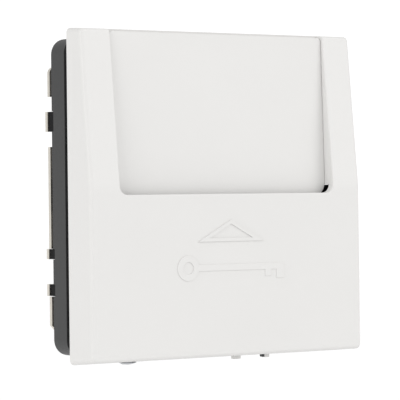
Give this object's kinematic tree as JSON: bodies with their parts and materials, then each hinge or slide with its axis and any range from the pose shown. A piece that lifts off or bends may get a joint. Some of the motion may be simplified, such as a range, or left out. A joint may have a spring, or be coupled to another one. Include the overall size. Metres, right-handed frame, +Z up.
{
  "type": "hotel key-card reader",
  "caption": "Flush-mounted key-card reader and holder: sloped front cover with a recessed card opening and slot, over a base, steel support plate and relay insert.",
  "frame": {"origin": "midway between the two wall-box screw holes, on the rear face of the support plate", "axes": "+X to the right seen from the front, -Y out of the wall towards the user, +Z up"},
  "size_m": [0.071, 0.0416, 0.0727],
  "materials": {
    "cover_white": "fine satin moulded plastic",
    "guide_black": "satin black plastic",
    "base_grey": "satin dark grey plastic",
    "housing_grey": "satin dark grey plastic",
    "plate_steel": "zinc-plated sheet steel",
    "screw_steel": "zinc-plated screws",
    "lock_screw_chrome": "bright nickel-plated",
    "spring_steel": "spring steel wire",
    "board_green": "green solder mask on glass-epoxy board",
    "track_copper": "bare copper track",
    "plug_black": "black plug bodies",
    "pin_brass": "gold-flashed pins",
    "lever_white": "natural acetal",
    "switch_black": "black phenolic switch body",
    "button_red": "red plunger",
    "chip_black": "black moulded chips",
    "crystal_can": "bright metal can",
    "passive_tan": "ceramic chip parts",
    "relay_blue": "blue relay case",
    "can_sleeve": "sleeved can",
    "film_yellow": "yellow film capacitor case",
    "varistor_blue": "blue epoxy coat",
    "resistor_tan": "coated resistor body",
    "terminal_grey": "grey terminal housing"
  },
  "bodies": {
    "housing": {"aerial_board": "board_green", "aerial_coil": "track_copper", "aerial_header": "plug_black", "aerial_pins": "pin_brass", "aerial_socket": "plug_black", "board_passives": "passive_tan", "board_screws": "screw_steel", "card_guide": "guide_black", "card_rest_plate": "cover_white", "clock_crystal": "crystal_can", "cover_locking_screw": "lock_screw_chrome", "film_capacitor": "film_yellow", "front_cover": "cover_white", "fuse_resistor": "resistor_tan", "guide_screws": "screw_steel", "insert_screws": "screw_steel", "lever_pin": "screw_steel", "lever_spring": "spring_steel", "link_header": "plug_black", "link_pins": "pin_brass", "link_socket": "plug_black", "microswitch_body": "switch_black", "microswitch_pins": "pin_brass", "plate_clips": "guide_black", "power_board": "board_green", "reader_board": "board_green", "reader_chips": "chip_black", "rear_base": "base_grey", "rear_housing": "housing_grey", "relay": "relay_blue", "supply_capacitor": "can_sleeve", "supply_choke": "chip_black", "support_plate": "plate_steel", "terminal_block": "terminal_grey", "terminal_clamps": "pin_brass", "terminal_screws": "screw_steel", "varistor": "varistor_blue"},
    "lever": {"card_lever": "lever_white"},
    "button": {"microswitch_button": "button_red"}
  },
  "joints": [
    {"name": "lever_swing", "type": "hinge", "parent": "housing", "child": "lever", "pos_m": [0, -0.0144, -0.011], "axis": [1, 0, 0], "range_deg": [0, 6], "stiffness_Nm_per_rad": 0.02, "springref_deg": -8.59, "deforming": ["lever_spring"]},
    {"name": "button_travel", "type": "slide", "parent": "housing", "child": "button", "axis": [0, 1, 0], "range_m": [0, 0.000775]}
  ],
  "couplings": [
    {"joint": "button_travel", "follows": "lever_swing", "m_per_rad": 0.0074}
  ]
}
